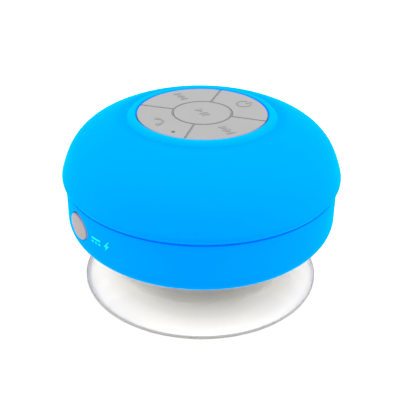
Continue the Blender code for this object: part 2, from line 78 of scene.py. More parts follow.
def procedural(name, rgb, rough, vary=0.03, rough_vary=0.05, scale=900.0, bump=0.03,
               distance=0.00002, metallic=0.0, detail=3.0, blotch=90.0, **sockets):
    """A Principled material whose colour drifts a little, whose roughness is uneven and
    whose surface has a fine grain."""
    mat = bpy.data.materials.new(name)
    tree, shader = nodes_of(mat)
    n, link = tree.nodes, tree.links
    coord = n.new("ShaderNodeTexCoord")
    drift = n.new("ShaderNodeTexNoise")
    drift.inputs["Scale"].default_value = blotch
    drift.inputs["Detail"].default_value = 2.0
    link.new(coord.outputs["Object"], drift.inputs["Vector"])
    ramp = n.new("ShaderNodeValToRGB")
    ramp.color_ramp.elements[0].position = 0.3
    ramp.color_ramp.elements[1].position = 0.7
    ramp.color_ramp.elements[0].color = (*[max(c * (1 - vary), 0) for c in rgb], 1)
    ramp.color_ramp.elements[1].color = (*[min(c * (1 + vary), 1) for c in rgb], 1)
    link.new(drift.outputs["Fac"], ramp.inputs["Fac"])
    link.new(ramp.outputs["Color"], shader.inputs["Base Color"])
    grain = n.new("ShaderNodeTexNoise")
    grain.inputs["Scale"].default_value = scale
    grain.inputs["Detail"].default_value = detail
    grain.inputs["Roughness"].default_value = 0.6
    link.new(coord.outputs["Object"], grain.inputs["Vector"])
    spread = n.new("ShaderNodeMapRange")
    spread.inputs["From Min"].default_value = 0.3
    spread.inputs["From Max"].default_value = 0.7
    spread.inputs["To Min"].default_value = max(rough - rough_vary, 0.02)
    spread.inputs["To Max"].default_value = min(rough + rough_vary, 1.0)
    link.new(grain.outputs["Fac"], spread.inputs["Value"])
    link.new(spread.outputs["Result"], shader.inputs["Roughness"])
    if bump:
        relief = n.new("ShaderNodeBump")
        relief.inputs["Strength"].default_value = bump
        relief.inputs["Distance"].default_value = distance
        link.new(grain.outputs["Fac"], relief.inputs["Height"])
        link.new(relief.outputs["Normal"], shader.inputs["Normal"])
    shader.inputs["Metallic"].default_value = metallic
    for key, value in sockets.items():
        shader.inputs[key.replace("_", " ")].default_value = value
    return mat


def height_ramp(tree, z_low, z_high, v_low=0.0, v_high=1.0):
    """A value that goes from v_low at height z_low (mm) to v_high at z_high."""
    coord = next(x for x in tree.nodes if x.type == "TEX_COORD")
    split = tree.nodes.new("ShaderNodeSeparateXYZ")
    tree.links.new(coord.outputs["Object"], split.inputs["Vector"])
    step = tree.nodes.new("ShaderNodeMapRange")
    step.inputs["From Min"].default_value = z_low * MM
    step.inputs["From Max"].default_value = z_high * MM
    step.inputs["To Min"].default_value = v_low
    step.inputs["To Max"].default_value = v_high
    tree.links.new(split.outputs["Z"], step.inputs["Value"])
    return step.outputs["Result"]


def by_height(mat, low_rgb, z_low, z_high):
    """Makes a material fade to low_rgb from height z_high down to z_low."""
    tree = mat.node_tree
    shader = tree.nodes["Principled BSDF"]
    old = shader.inputs["Base Color"].links[0].from_socket
    mix = tree.nodes.new("ShaderNodeMix")
    mix.data_type = "RGBA"
    mix.inputs["A"].default_value = (*low_rgb, 1)
    tree.links.new(height_ramp(tree, z_low, z_high), mix.inputs["Factor"])
    tree.links.new(old, mix.inputs["B"])
    tree.links.new(mix.outputs["Result"], shader.inputs["Base Color"])
    return mat


BLUE = (0.0, 0.166, 0.95)
GREY = (0.166, 0.166, 0.167)
# the grey of the ring round the cup's rim is painted shade
EDGE_TOP, RIM_SHADE_RGB = 1.0, (0.36, 0.355, 0.35)
M = {}
M["blue_silicone"] = procedural(
    "blue_silicone", BLUE, 0.6, vary=0.012, scale=2600, bump=0.10, distance=0.00004,
    blotch=35.0, Specular_IOR_Level=0.0,
    Sheen_Weight=0.3, Sheen_Roughness=0.33, Sheen_Tint=(0.0, 1.0, 1.0, 1.0))
by_height(M["blue_silicone"], (0.0, 0.202, 0.95), 54.95, 54.2)     # painted highlight: the collar's top is painted a little paler, where the light falls on it
M["blue_mark"] = procedural(
    "blue_mark", (0.0, 0.42, 0.97), 0.5, vary=0.01, scale=2600, bump=0.04,
    Specular_IOR_Level=0.04, Specular_Tint=(0.0, 0.9, 1.0, 1.0))
M["grey_silicone"] = procedural(
    "grey_silicone", GREY, 0.6, vary=0.02, scale=2400, bump=0.12, distance=0.00004,
    blotch=60.0, Specular_IOR_Level=0.2, Sheen_Weight=0.05, Sheen_Roughness=0.5)
M["plug_silicone"] = procedural(
    "plug_silicone", (0.178, 0.165, 0.167), 0.6, vary=0.02, scale=2400, bump=0.12,
    distance=0.00004, blotch=60.0, Specular_IOR_Level=0.2)
# painted shade: the pictograms are painted darker than the keys, for the shade of their relief
M["icon_grey"] = procedural(
    "icon_grey", (0.112, 0.112, 0.114), 0.5, vary=0.02, scale=2400, bump=0.05)


# painted shade: the keys are painted darker low on their sides, in the slots between them where shade falls
M["key_silicone"] = M["grey_silicone"].copy()
M["key_silicone"].name = "key_silicone"
by_height(M["key_silicone"], (0.10, 0.10, 0.101), KEY_TOP - 0.4, KEY_TOP - 0.14)
M["grey_abs"] = procedural(
    "grey_abs", (0.46, 0.47, 0.48), 0.42, vary=0.02, scale=1500, bump=0.25,
    distance=0.00004)
M["frosted_abs"] = procedural(
    "frosted_abs", (0.80, 0.81, 0.82), 0.35, vary=0.01, scale=1500, bump=0.15,
    distance=0.00003)
M["dark_abs"] = procedural(
    "dark_abs", (0.03, 0.03, 0.033), 0.45, vary=0.08, scale=1500, bump=0.25,
    distance=0.00004)
M["black_rubber"] = procedural(
    "black_rubber", (0.022, 0.022, 0.022), 0.65, vary=0.1, scale=1800, bump=0.2,
    distance=0.00004)
M["cable_jacket"] = procedural(
    "cable_jacket", (0.03, 0.03, 0.03), 0.5, vary=0.1, scale=1800, bump=0.1)
M["nylon"] = procedural(
    "nylon", (0.72, 0.72, 0.68), 0.45, vary=0.03, scale=1500, bump=0.1,
    Subsurface_Weight=0.0)
M["mesh_cloth"] = procedural(
    "mesh_cloth", (0.03, 0.03, 0.033), 0.85, vary=0.15, scale=4200, bump=0.7,
    distance=0.00008, Sheen_Weight=0.3)
M["pcb_green"] = procedural(
    "pcb_green", (0.012, 0.13, 0.055), 0.32, vary=0.12, scale=1200, bump=0.15, blotch=260.0)
M["black_epoxy"] = procedural(
    "black_epoxy", (0.018, 0.018, 0.02), 0.38, vary=0.1, scale=1800, bump=0.12)
M["ferrite"] = procedural(
    "ferrite", (0.05, 0.05, 0.054), 0.7, vary=0.2, scale=1100, bump=0.5,
    distance=0.00006)
M["paper_cone"] = procedural(
    "paper_cone", (0.06, 0.06, 0.064), 0.85, vary=0.15, scale=900, bump=0.6,
    distance=0.00008)
M["battery_wrap"] = procedural(
    "battery_wrap", (0.62, 0.62, 0.65), 0.3, vary=0.05, scale=500, bump=0.3,
    distance=0.00005, metallic=0.7)


def brushed(name, rgb, rough):
    """Metal with a turned, streaky finish."""
    mat = procedural(name, rgb, rough, vary=0.06, scale=900, bump=0.08, metallic=1.0)
    tree = mat.node_tree
    squeeze = tree.nodes.new("ShaderNodeMapping")
    squeeze.inputs["Scale"].default_value = (1.0, 1.0, 14.0)
    coord = next(x for x in tree.nodes if x.type == "TEX_COORD")
    grain = [x for x in tree.nodes if x.type == "TEX_NOISE"][1]
    tree.links.new(coord.outputs["Object"], squeeze.inputs["Vector"])
    tree.links.new(squeeze.outputs["Vector"], grain.inputs["Vector"])
    return mat


M["steel"] = brushed("steel", (0.58, 0.58, 0.59), 0.3)
M["copper"] = brushed("copper", (0.66, 0.3, 0.15), 0.35)

M["clear_pvc"] = procedural(
    "clear_pvc", (0.985, 0.984, 0.982), 0.06, vary=0.004, rough_vary=0.025, scale=420,
    bump=0.0, blotch=50.0, Transmission_Weight=1.0, IOR=1.24)
clear_tree = M["clear_pvc"].node_tree
clear_shader = clear_tree.nodes["Principled BSDF"]
# painted shade: the neck is painted greyer, for the shade under the body, and is softer than the glossy flare:
# both are set by height, for the look
by_height(M["clear_pvc"], (0.685, 0.69, 0.70), 8.5, 2.6)
satin = height_ramp(clear_tree, NECK_LOW, NECK_HIGH, 0.0, NECK_SATIN)
total = clear_tree.nodes.new("ShaderNodeMath")
total.operation = "ADD"
clear_tree.links.new(clear_shader.inputs["Roughness"].links[0].from_socket, total.inputs[0])
clear_tree.links.new(satin, total.inputs[1])
clear_tree.links.new(total.outputs["Value"], clear_shader.inputs["Roughness"])
clear_out = next(x for x in clear_tree.nodes if x.type == "OUTPUT_MATERIAL")
path = clear_tree.nodes.new("ShaderNodeLightPath")
through = clear_tree.nodes.new("ShaderNodeBsdfTransparent")
through.inputs["Color"].default_value = (0.96, 0.96, 0.96, 1)
lamp_mix = clear_tree.nodes.new("ShaderNodeMixShader")
clear_tree.links.new(path.outputs["Is Shadow Ray"], lamp_mix.inputs[0])
clear_tree.links.new(clear_tree.nodes["Principled BSDF"].outputs["BSDF"], lamp_mix.inputs[1])
clear_tree.links.new(through.outputs["BSDF"], lamp_mix.inputs[2])
clear_tree.links.new(lamp_mix.outputs["Shader"], clear_out.inputs["Surface"])
M["edge_pvc"] = procedural(
    "edge_pvc", RIM_SHADE_RGB, 0.3, vary=0.02, scale=900, bump=0.02, distance=0.00003,
    Transmission_Weight=0.35, IOR=1.3)

# The CAD nodes keep their shapes and take the finer materials.
slot_of = {s["node"]: s["material_slot"] for s in frame["record"]["subparts"]}
for node_name, obj in frame["nodes"].items():
    mat = M[slot_of[node_name]]
    if not obj.material_slots:
        obj.data.materials.append(mat)
    for s in obj.material_slots:
        s.link = "OBJECT"
        s.material = mat


# ------------------------------------------------------------------ mesh helpers
def make(name, verts, faces, mat, body, angle=30.0, replaces=()):
    """A mesh piece from points in mm, riding on a CAD body."""
    mesh = bpy.data.meshes.new(name)
    mesh.from_pydata([tuple(c * MM for c in v) for v in verts], [], faces)
    bm = bmesh.new()
    bm.from_mesh(mesh)
    bmesh.ops.remove_doubles(bm, verts=bm.verts, dist=1e-7)
    bmesh.ops.recalc_face_normals(bm, faces=bm.faces)
    bm.to_mesh(mesh)
    bm.free()
    return dress(name, mesh, mat, body, angle, replaces)


def dress(name, mesh, mat, body, angle=30.0, replaces=()):
    """body is a CAD body, or (body, body, z, z) for a soft piece between two, which is only baked in place."""
    mesh.validate()
    mesh.shade_smooth()
    if angle:
        mesh.set_sharp_from_angle(angle=math.radians(angle))
    obj = bpy.data.objects.new(name, mesh)
    bpy.context.scene.collection.objects.link(obj)
    if mat:
        mesh.materials.append(mat)
    if body:
        if isinstance(body, tuple):
            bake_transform(obj)
        else:
            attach(obj, body)
        if replaces:
            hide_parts(*replaces)
    return obj


def lathe_data(loop, seg, closed=True):
    """Points and faces of a loop of (r, z) turned about Z. Points at r = 0 stay single."""
    verts, index = [], []
    for r, z in loop:
        if r < 1e-6:
            index.append([len(verts)] * seg)
            verts.append((0.0, 0.0, z))
        else:
            index.append(list(range(len(verts), len(verts) + seg)))
            verts += [(r * math.cos(2 * math.pi * k / seg), r * math.sin(2 * math.pi * k / seg), z)
                      for k in range(seg)]
    faces = []
    rows = len(loop)
    for i in range(rows if closed else rows - 1):
        a, b = index[i], index[(i + 1) % rows]
        if a[0] == a[-1] and b[0] == b[-1]:
            continue
        for k in range(seg):
            m = (k + 1) % seg
            quad = [a[k], a[m], b[m], b[k]]
            faces.append([q for j, q in enumerate(quad) if q not in quad[:j]])
    return verts, faces


def lathe(name, loop, mat, body, seg=192, angle=35.0, replaces=(), closed=True):
    verts, faces = lathe_data(loop, seg, closed)
    return make(name, verts, faces, mat, body, angle, replaces)


def rounded(points, closed=False, n=5):
    """A polyline whose corners (r, z, radius) are rounded; a point with no radius stays."""
    out = []
    count = len(points)
    for i, p in enumerate(points):
        rad = p[2] if len(p) > 2 else 0.0
        if rad <= 0 or (not closed and i in (0, count - 1)):
            out.append((p[0], p[1]))
            continue
        a, b, c = Vector(points[i - 1][:2]), Vector(p[:2]), Vector(points[(i + 1) % count][:2])
        u, v = (a - b), (c - b)
        half = u.angle(v) / 2
        reach = min(rad / math.tan(half), u.length * 0.49, v.length * 0.49)
        rad = reach * math.tan(half)
        u.normalize()
        v.normalize()
        middle = b + (u + v).normalized() * (rad / math.sin(half))
        start, end = b + u * reach - middle, b + v * reach - middle
        turn = start.angle_signed(end)
        for k in range(n + 1):
            q = start.copy()
            ang = -turn * k / n
            q = Vector((start.x * math.cos(ang) - start.y * math.sin(ang),
                        start.x * math.sin(ang) + start.y * math.cos(ang))) + middle
            out.append((q.x, q.y))
    return out


def curve(points, per=6):
    """A smooth centripetal curve through the points."""
    p = [Vector(q) for q in points]
    p = [p[0] * 2 - p[1]] + p + [p[-1] * 2 - p[-2]]
    out = []
    for i in range(1, len(p) - 2):
        a, b, c, d = p[i - 1], p[i], p[i + 1], p[i + 2]
        t0 = 0.0
        t1 = t0 + max((b - a).length, 1e-6) ** 0.5
        t2 = t1 + max((c - b).length, 1e-6) ** 0.5
        t3 = t2 + max((d - c).length, 1e-6) ** 0.5
        for k in range(per):
            t = t1 + (t2 - t1) * k / per
            a1 = a * ((t1 - t) / (t1 - t0)) + b * ((t - t0) / (t1 - t0))
            a2 = b * ((t2 - t) / (t2 - t1)) + c * ((t - t1) / (t2 - t1))
            a3 = c * ((t3 - t) / (t3 - t2)) + d * ((t - t2) / (t3 - t2))
            b1 = a1 * ((t2 - t) / (t2 - t0)) + a2 * ((t - t0) / (t2 - t0))
            b2 = a2 * ((t3 - t) / (t3 - t1)) + a3 * ((t - t1) / (t3 - t1))
            out.append(tuple(b1 * ((t2 - t) / (t2 - t1)) + b2 * ((t - t1) / (t2 - t1))))
    out.append(tuple(points[-1]))
    return out


def offset_path(path, distance):
    out = []
    for i, p in enumerate(path):
        a, b = path[max(i - 1, 0)], path[min(i + 1, len(path) - 1)]
        dx, dz = b[0] - a[0], b[1] - a[1]
        length = math.hypot(dx, dz) or 1.0
        out.append((p[0] + dz / length * distance, p[1] - dx / length * distance))
    return out


def at_angle(r, degrees):
    a = math.radians(degrees)
    return (r * math.cos(a), r * math.sin(a))


def rings_solid(rings, cap=True):
    """Points and faces of a stack of equal rings (lists of xyz), capped at both ends."""
    n = len(rings[0])
    verts = [p for ring in rings for p in ring]
    faces = []
    for i in range(len(rings) - 1):
        for k in range(n):
            m = (k + 1) % n
            faces.append([i * n + k, i * n + m, (i + 1) * n + m, (i + 1) * n + k])
    if cap:
        faces.append(list(range(n)))
        last = (len(rings) - 1) * n
        faces.append([last + k for k in range(n)])
    return verts, faces


def pillow(name, inset, z_low, z_high, mat, body, top=0.3, bottom=0.1, replaces=(),
           n=5, crown=0.0):
    """An upright prism with rounded edges. inset(s) gives its outline moved inwards by s.
    crown lifts the middle of the top a little."""
    steps = []
    for k in range(3):
        a = math.pi / 2 * k / 2
        steps.append((bottom * (1 - math.sin(a)), z_low + bottom * (1 - math.cos(a))))
    for k in range(n + 1):
        a = math.pi / 2 * k / n
        steps.append((top * (1 - math.cos(a)), z_high - top * (1 - math.sin(a))))
    steps.append((top + 0.08, z_high))
    if crown:
        steps.append((top + 1.2, z_high + crown * 0.6))
        steps.append((top + 2.6, z_high + crown))
    rings = [[(x, y, z) for x, y in inset(s)] for s, z in steps]
    verts, faces = rings_solid(rings)
    return make(name, verts, faces, mat, body, 40.0, replaces)


def ellipse(a, b, n=96, cx=0.0, cy=0.0):
    return lambda s: [(cx + (a - s) * math.cos(2 * math.pi * k / n),
                       cy + (b - s) * math.sin(2 * math.pi * k / n)) for k in range(n)]


def rounded_box(w, h, r, cx=0.0, cy=0.0, n=6):
    """Inset outline of a rectangle w by h with corner radius r."""
    def outline(s):
        pts = []
        rr = max(r - s, 0.02)
        for sx, sy, a0 in ((1, 1, 0), (-1, 1, 90), (-1, -1, 180), (1, -1, 270)):
            ox, oy = sx * (w / 2 - s - rr), sy * (h / 2 - s - rr)
            for k in range(n + 1):
                a = math.radians(a0 + 90 * k / n)
                pts.append((cx + ox + rr * math.cos(a), cy + oy + rr * math.sin(a)))
        return pts
    return outline


def subtract(obj, cutters):
    """Cuts closed shapes [(verts, faces), ...] from obj and keeps the result in its mesh."""
    mesh = bpy.data.meshes.new("cut")
    bm = bmesh.new()
    for verts, faces in cutters:
        made = [bm.verts.new(Vector(v) * MM) for v in verts]
        for f in faces:
            bm.faces.new([made[i] for i in f])
    bmesh.ops.recalc_face_normals(bm, faces=bm.faces)
    bm.to_mesh(mesh)
    bm.free()
    tool = bpy.data.objects.new("cut", mesh)
    bpy.context.scene.collection.objects.link(tool)
    mod = obj.modifiers.new("cut", "BOOLEAN")
    mod.operation, mod.solver, mod.object = "DIFFERENCE", "EXACT", tool
    dg = bpy.context.evaluated_depsgraph_get()
    result = bpy.data.meshes.new_from_object(obj.evaluated_get(dg))
    obj.modifiers.clear()
    old = obj.data
    obj.data = result
    result.name = old.name
    bpy.data.objects.remove(tool, do_unlink=True)
    result.shade_smooth()
    result.set_sharp_from_angle(angle=math.radians(35))
    return obj


def upright(loop, seg, cx, cy):
    verts, faces = lathe_data(loop, seg)
    return [(x + cx, y + cy, z) for x, y, z in verts], faces


# ------------------------------------------------------------------ silicone dome
SHOULDER = [(31.8, 51.85), (34.75, 50.15), (37.4, 47.95), (39.5, 45.35), (40.95, 42.6),
            (41.9, 40.1), (42.48, 38.3), (42.68, 37.2), (42.5, 36.2), (42.05, 35.55)]
dome_outer = curve([(24.3, 53.98), (25.9, 53.92), (28.2, 53.40)] + SHOULDER, 7)
dome_under = curve([(23.9, 54.70), (25.4, 54.36), (28.0, 53.52)] + SHOULDER, 7)
dome_inner = [p for p in offset_path(dome_under, 1.5) if p[1] > 37.3 and p[0] > 23.6][::3]
# a narrow ledge in the gap round the keys, the raised collar, and the crease outside it
collar = rounded([(19.63, 53.3), (19.63, 54.9, 0.1), (19.92, 54.9), (19.92, 55.7, 0.36),
                  (21.45, 55.69, 1.2), (22.75, 54.1, 0.6), (24.3, 53.98)], n=8)
tuck = rounded([dome_outer[-1], (41.62, 34.9, 0.35), (40.1, 34.9), (40.1, 37.2)], n=6)
dome_loop = collar[:-1] + dome_outer[:-1] + tuck + dome_inner[::-1] + [(22.9, 53.3)]
lathe("dome_skin", dome_loop, M["blue_silicone"], "housing", 256, 50,
      ["upper_sleeve"])


# ------------------------------------------------------------------ silicone side, with the port
def side_r(z):
    if z >= CORNER_Z:
        return WALL_R
    return WALL_R - CORNER_R + CORNER_R * math.sqrt(max(1 - ((CORNER_Z - z) / CORNER_H) ** 2, 0))


HOLE_A, HOLE_B = PORT_A + 0.12, PORT_B + 0.12


def hole_at(a, grow=0.0):
    """The port hole's edge at angle a: an oval with a fingernail dip over the plug."""
    dip = 0.5 * math.exp(-((math.degrees(a) - 95) / 30) ** 2)
    return (HOLE_A + grow) * math.cos(a), PORT_Z + (HOLE_B + grow + dip) * math.sin(a)


SEG_SIDE = 288
PATCH_COLS = 8                       # grid columns left out on each side of the port
rows = [34.1, 33.75] + [33.3 - 0.65 * k for k in range(15)]
corner_z = [CORNER_Z - CORNER_H * math.sin(math.radians(73.0 * k / 24)) for k in range(25)]
rows = [z for z in rows if z > CORNER_Z + 0.1] + corner_z
row_rz = [(side_r(z), z) for z in rows]
patch_rows = [i for i, z in enumerate(rows) if 22.6 < z < 33.6]
r0, r1 = patch_rows[0], patch_rows[-1]
c_mid = SEG_SIDE * 3 // 4            # the column that looks along -Y


def on_side(u, z, depth=0.0):
    """The point at arc u from the port's middle and height z, depth mm below the skin."""
    a = -math.pi / 2 + u / WALL_R
    r = side_r(z) - depth
    return (r * math.cos(a), r * math.sin(a), z)


def side_sheet():
    verts, faces = [], []
    grid = {}

    def grid_vert(i, c):
        c %= SEG_SIDE
        if (i, c) not in grid:
            r, z = row_rz[i]
            a = 2 * math.pi * c / SEG_SIDE
            grid[i, c] = len(verts)
            verts.append((r * math.cos(a), r * math.sin(a), z))
        return grid[i, c]

    lo, hi = c_mid - PATCH_COLS, c_mid + PATCH_COLS
    for i in range(len(row_rz) - 1):
        for c in range(SEG_SIDE):
            if r0 <= i < r1 and lo <= c < hi:
                continue
            faces.append([grid_vert(i, c), grid_vert(i, c + 1), grid_vert(i + 1, c + 1),
                          grid_vert(i + 1, c)])
    # the boundary of the left-out rectangle, once round
    border = ([(r0, c) for c in range(lo, hi)] + [(i, hi) for i in range(r0, r1)]
              + [(r1, c) for c in range(hi, lo, -1)] + [(i, lo) for i in range(r1, r0, -1)])
    step = 2 * math.pi / SEG_SIDE * WALL_R
    outer = [((c - c_mid) * step, row_rz[i][1]) for i, c in border]
    ring_ids = [[grid_vert(i, c) for i, c in border]]
    inner = []
    for u, z in outer:
        a = math.atan2((z - PORT_Z) / HOLE_B, u / HOLE_A)
        inner.append((*hole_at(a), a))
    lip = 0.3                         # rounding of the hole's edge
    count = 6
    for k in range(1, count + 1):
        t = k / count
        t = 1 - (1 - t) ** 1.3
        ids = []
        for (u, z), (iu, iz, a) in zip(outer, inner):
            eu, ez = hole_at(a, lip)
            ids.append(len(verts))
            verts.append(on_side(u + (eu - u) * t, z + (ez - z) * t))
        ring_ids.append(ids)
    for k in range(1, 6):             # round the edge over
        b = math.pi / 2 * k / 5
        s, d = lip * (1 - math.sin(b)), lip * (1 - math.cos(b))
        ids = []
        for iu, iz, a in inner:
            ids.append(len(verts))
            verts.append(on_side(*hole_at(a, s), d))
        ring_ids.append(ids)
    hole = [(iu, iz) for iu, iz, a in inner]
    ids = []
    for iu, iz in hole:               # and go down to the skin's inner side
        ids.append(len(verts))
        verts.append(on_side(iu, iz, 1.55))
    ring_ids.append(ids)
    ids2 = []                         # outwards again, to join the inner surface
    inner_border = {}
    inner_r = {}
    n = len(border)
    for a_ids, b_ids in zip(ring_ids, ring_ids[1:]):
        for k in range(n):
            m = (k + 1) % n
            faces.append([a_ids[k], a_ids[m], b_ids[m], b_ids[k]])
    # inner surface: the same grid, 1.55 mm further in
    inner_rz = offset_path(row_rz, 1.55)
    inner_rz[0] = (40.1, 34.86)
    inner_rz[-1] = (34.0, 17.85)
    grid_in = {}

    def in_vert(i, c):
        c %= SEG_SIDE
        if (i, c) not in grid_in:
            r, z = inner_rz[i]
            a = 2 * math.pi * c / SEG_SIDE
            grid_in[i, c] = len(verts)
            verts.append((r * math.cos(a), r * math.sin(a), z))
        return grid_in[i, c]

    for i in range(len(inner_rz) - 1):
        for c in range(SEG_SIDE):
            if r0 <= i < r1 and lo <= c < hi:
                continue
            faces.append([in_vert(i + 1, c), in_vert(i + 1, c + 1), in_vert(i, c + 1),
                          in_vert(i, c)])
    border_in = [in_vert(i, c) for i, c in border]
    for k in range(n):
        m = (k + 1) % n
        faces.append([ring_ids[-1][k], ring_ids[-1][m], border_in[m], border_in[k]])
    # top edge: rounded, then a step that tucks under the dome
    top = rounded([(WALL_R, 34.1), (WALL_R, 34.44, 0.3), (40.95, 34.44, 0.08), (40.95, 34.86),
                   (40.1, 34.86)], n=4)[1:-1]
    loops = [[grid_vert(0, c) for c in range(SEG_SIDE)]]
    for r, z in top:
        loops.append(list(range(len(verts), len(verts) + SEG_SIDE)))
        verts.extend((r * math.cos(2 * math.pi * c / SEG_SIDE),
                      r * math.sin(2 * math.pi * c / SEG_SIDE), z) for c in range(SEG_SIDE))
    loops.append([in_vert(0, c) for c in range(SEG_SIDE)])
    # lower edge: a small rounding, then up to the inner surface
    low = [(34.01, 16.33), (33.95, 16.36), (33.92, 16.43), (33.92, 16.7)]
    last = len(row_rz) - 1
    low_loops = [[grid_vert(last, c) for c in range(SEG_SIDE)]]
    for r, z in low[1:]:
        low_loops.append(list(range(len(verts), len(verts) + SEG_SIDE)))
        verts.extend((r * math.cos(2 * math.pi * c / SEG_SIDE),
                      r * math.sin(2 * math.pi * c / SEG_SIDE), z) for c in range(SEG_SIDE))
    low_loops.append([in_vert(last, c) for c in range(SEG_SIDE)])
    for chain in (loops, low_loops):
        for a_ids, b_ids in zip(chain, chain[1:]):
            for c in range(SEG_SIDE):
                m = (c + 1) % SEG_SIDE
                faces.append([a_ids[c], a_ids[m], b_ids[m], b_ids[c]])
    return verts, faces


side_verts, side_faces = side_sheet()
make("side_skin", side_verts, side_faces, M["blue_silicone"], "housing", 50,
     ["lower_sleeve"])


# ------------------------------------------------------------------ raised mark beside the port
def raised_on_side(name, shapes, u0, z0, height, mat):
    """Flat shapes (lists of (u, v) in mm) standing a little out of the side."""
    verts, faces = [], []
    for shape in shapes:
        pts = []
        for k, p in enumerate(shape):
            q = shape[(k + 1) % len(shape)]
            steps = max(int(math.hypot(q[0] - p[0], q[1] - p[1]) / 0.35), 1)
            pts += [(p[0] + (q[0] - p[0]) * j / steps, p[1] + (q[1] - p[1]) * j / steps)
                    for j in range(steps)]
        start, n = len(verts), len(pts)
        for depth in (0.15, -height):
            verts += [on_side(u0 + u, z0 + v, depth) for u, v in pts]
        faces += [[start + k, start + (k + 1) % n, start + n + (k + 1) % n, start + n + k]
                  for k in range(n)]
        faces.append([start + k for k in range(n)])
        faces.append([start + n + k for k in range(n)])
    obj = make(name, verts, faces, mat, "housing", 30)
    bm = bmesh.new()
    bm.from_mesh(obj.data)
    bmesh.ops.triangulate(bm, faces=[f for f in bm.faces if len(f.verts) > 4])
    bm.to_mesh(obj.data)
    bm.free()
    return obj


def bar(u, v, w, h):
    return [(u - w / 2, v - h / 2), (u + w / 2, v - h / 2), (u + w / 2, v + h / 2),
            (u - w / 2, v + h / 2)]


mark_u = math.radians(15.9) * WALL_R
raised_on_side("charge_mark", [
    bar(-1.75, 0.6, 3.9, 0.62), bar(-3.25, -0.6, 0.85, 0.62), bar(-1.75, -0.6, 0.85, 0.62),
    bar(-0.25, -0.6, 0.85, 0.62),
    [(3.2, 1.65), (1.55, -0.3), (2.5, -0.3), (2.0, -1.65), (3.75, 0.35), (2.75, 0.35),
     (3.75, 1.65)],
], mark_u, 28.2, 0.12, M["blue_mark"])

# ------------------------------------------------------------------ port plug
plug_rings = []
for s, d in ([(0.1, 1.9), (0.0, 1.8), (0.0, 0.35)]
             + [(0.42 * (1 - math.cos(math.pi / 2 * k / 6)),
                 -0.07 + 0.42 * (1 - math.sin(math.pi / 2 * k / 6))) for k in range(7)]
             + [(0.6, -0.08), (1.2, -0.13), (1.8, -0.16), (2.5, -0.19)]):
    ring = []
    for k in range(72):
        a = 2 * math.pi * k / 72
        u, v = (PORT_A - s) * math.cos(a), (PORT_B - s) * math.sin(a)
        ring.append((u, -math.sqrt((WALL_R + 0.3 - d) ** 2 - u * u), PORT_Z + v))
    plug_rings.append(ring)
plug_verts, plug_faces = rings_solid(plug_rings)
make("plug_cap", plug_verts, plug_faces, M["plug_silicone"], "plug", 40,
     ["port_plug"])


def lying(inset, y_from, y_to, top=0.15, n=4):
    """A prism along -Y from y_from to y_to, its outline in (x, z), its far end rounded."""
    rings = []
    for s, y in ([(0.0, y_from)] + [(top * (1 - math.cos(math.pi / 2 * k / n)),
                                     y_to - math.copysign(top * (1 - math.sin(math.pi / 2 * k / n)),
                                                          y_to - y_from))
                                    for k in range(n + 1)]):
        rings.append([(x, y, z) for x, z in inset(s)])
    return rings_solid(rings)


v, f = lying(rounded_box(7.2, 2.4, 0.8, SOCKET_X, PORT_Z), -40.4, -39.0)
make("plug_boss", v, f, M["plug_silicone"], "plug", 40)
v, f = lying(rounded_box(6.0, 1.2, 0.5, SOCKET_X, PORT_Z), -39.2, -35.2, 0.3)
make("plug_tongue", v, f, M["plug_silicone"], "plug", 40)
strap = rounded([(0, 29.4), (0.9, 29.9, 0.3), (1.15, 30.6, 0.25), (0.5, 31.4, 0.3), (0.5, 40.4),
                 (0, 40.4)], n=4)
sv, sf = lathe_data(strap, 24, closed=False)
make("plug_strap", [(x + LEG_X, -z, y + PORT_Z) for x, y, z in sv], sf, M["plug_silicone"],
     "plug", 50)


# ------------------------------------------------------------------ keys
def arc(r, a0, a1, n):
    return [at_angle(r, a0 + (a1 - a0) * k / n) for k in range(n + 1)]


def sector_outline(lo, hi, corner=0.35, n_out=44, n_in=22):
    """Inset outline of a ring's part between two slots, its four corners cut short."""
    def outline(s):
        r_in, r_out, half = CENTRE_KEY_R + KEY_SLOT + s, KEYPAD_R - s, KEY_SLOT / 2 + s
        c = max(corner - s * 0.5, 0.12)
        pts = []
        d = math.degrees(math.asin((half + c) / r_out))
        e = math.degrees(math.asin(half / (r_out - c)))
        d2 = math.degrees(math.asin((half + c) / r_in))
        e2 = math.degrees(math.asin(half / (r_in + c)))
        pts += arc(r_out, lo + d, hi - d, n_out)
        pts += blend3(at_angle(r_out, hi - d), at_angle(r_out, hi - math.degrees(math.asin(half / r_out))),
                      at_angle(r_out - c, hi - e))
        pts += blend3(at_angle(r_in + c, hi - e2), at_angle(r_in, hi - math.degrees(math.asin(half / r_in))),
                      at_angle(r_in, hi - d2))
        pts += arc(r_in, hi - d2, lo + d2, n_in)
        pts += blend3(at_angle(r_in, lo + d2), at_angle(r_in, lo + math.degrees(math.asin(half / r_in))),
                      at_angle(r_in + c, lo + e2))
        pts += blend3(at_angle(r_out - c, lo + e), at_angle(r_out, lo + math.degrees(math.asin(half / r_out))),
                      at_angle(r_out, lo + d))
        clean = []
        for p in pts:
            if not clean or math.hypot(p[0] - clean[-1][0], p[1] - clean[-1][1]) > 1e-6:
                clean.append(p)
        if math.hypot(clean[0][0] - clean[-1][0], clean[0][1] - clean[-1][1]) < 1e-6:
            clean.pop()
        return clean
    return outline


def blend3(a, b, c, n=4):
    return [((1 - t) ** 2 * a[0] + 2 * t * (1 - t) * b[0] + t * t * c[0],
             (1 - t) ** 2 * a[1] + 2 * t * (1 - t) * b[1] + t * t * c[1])
            for t in (k / n for k in range(n + 1))]


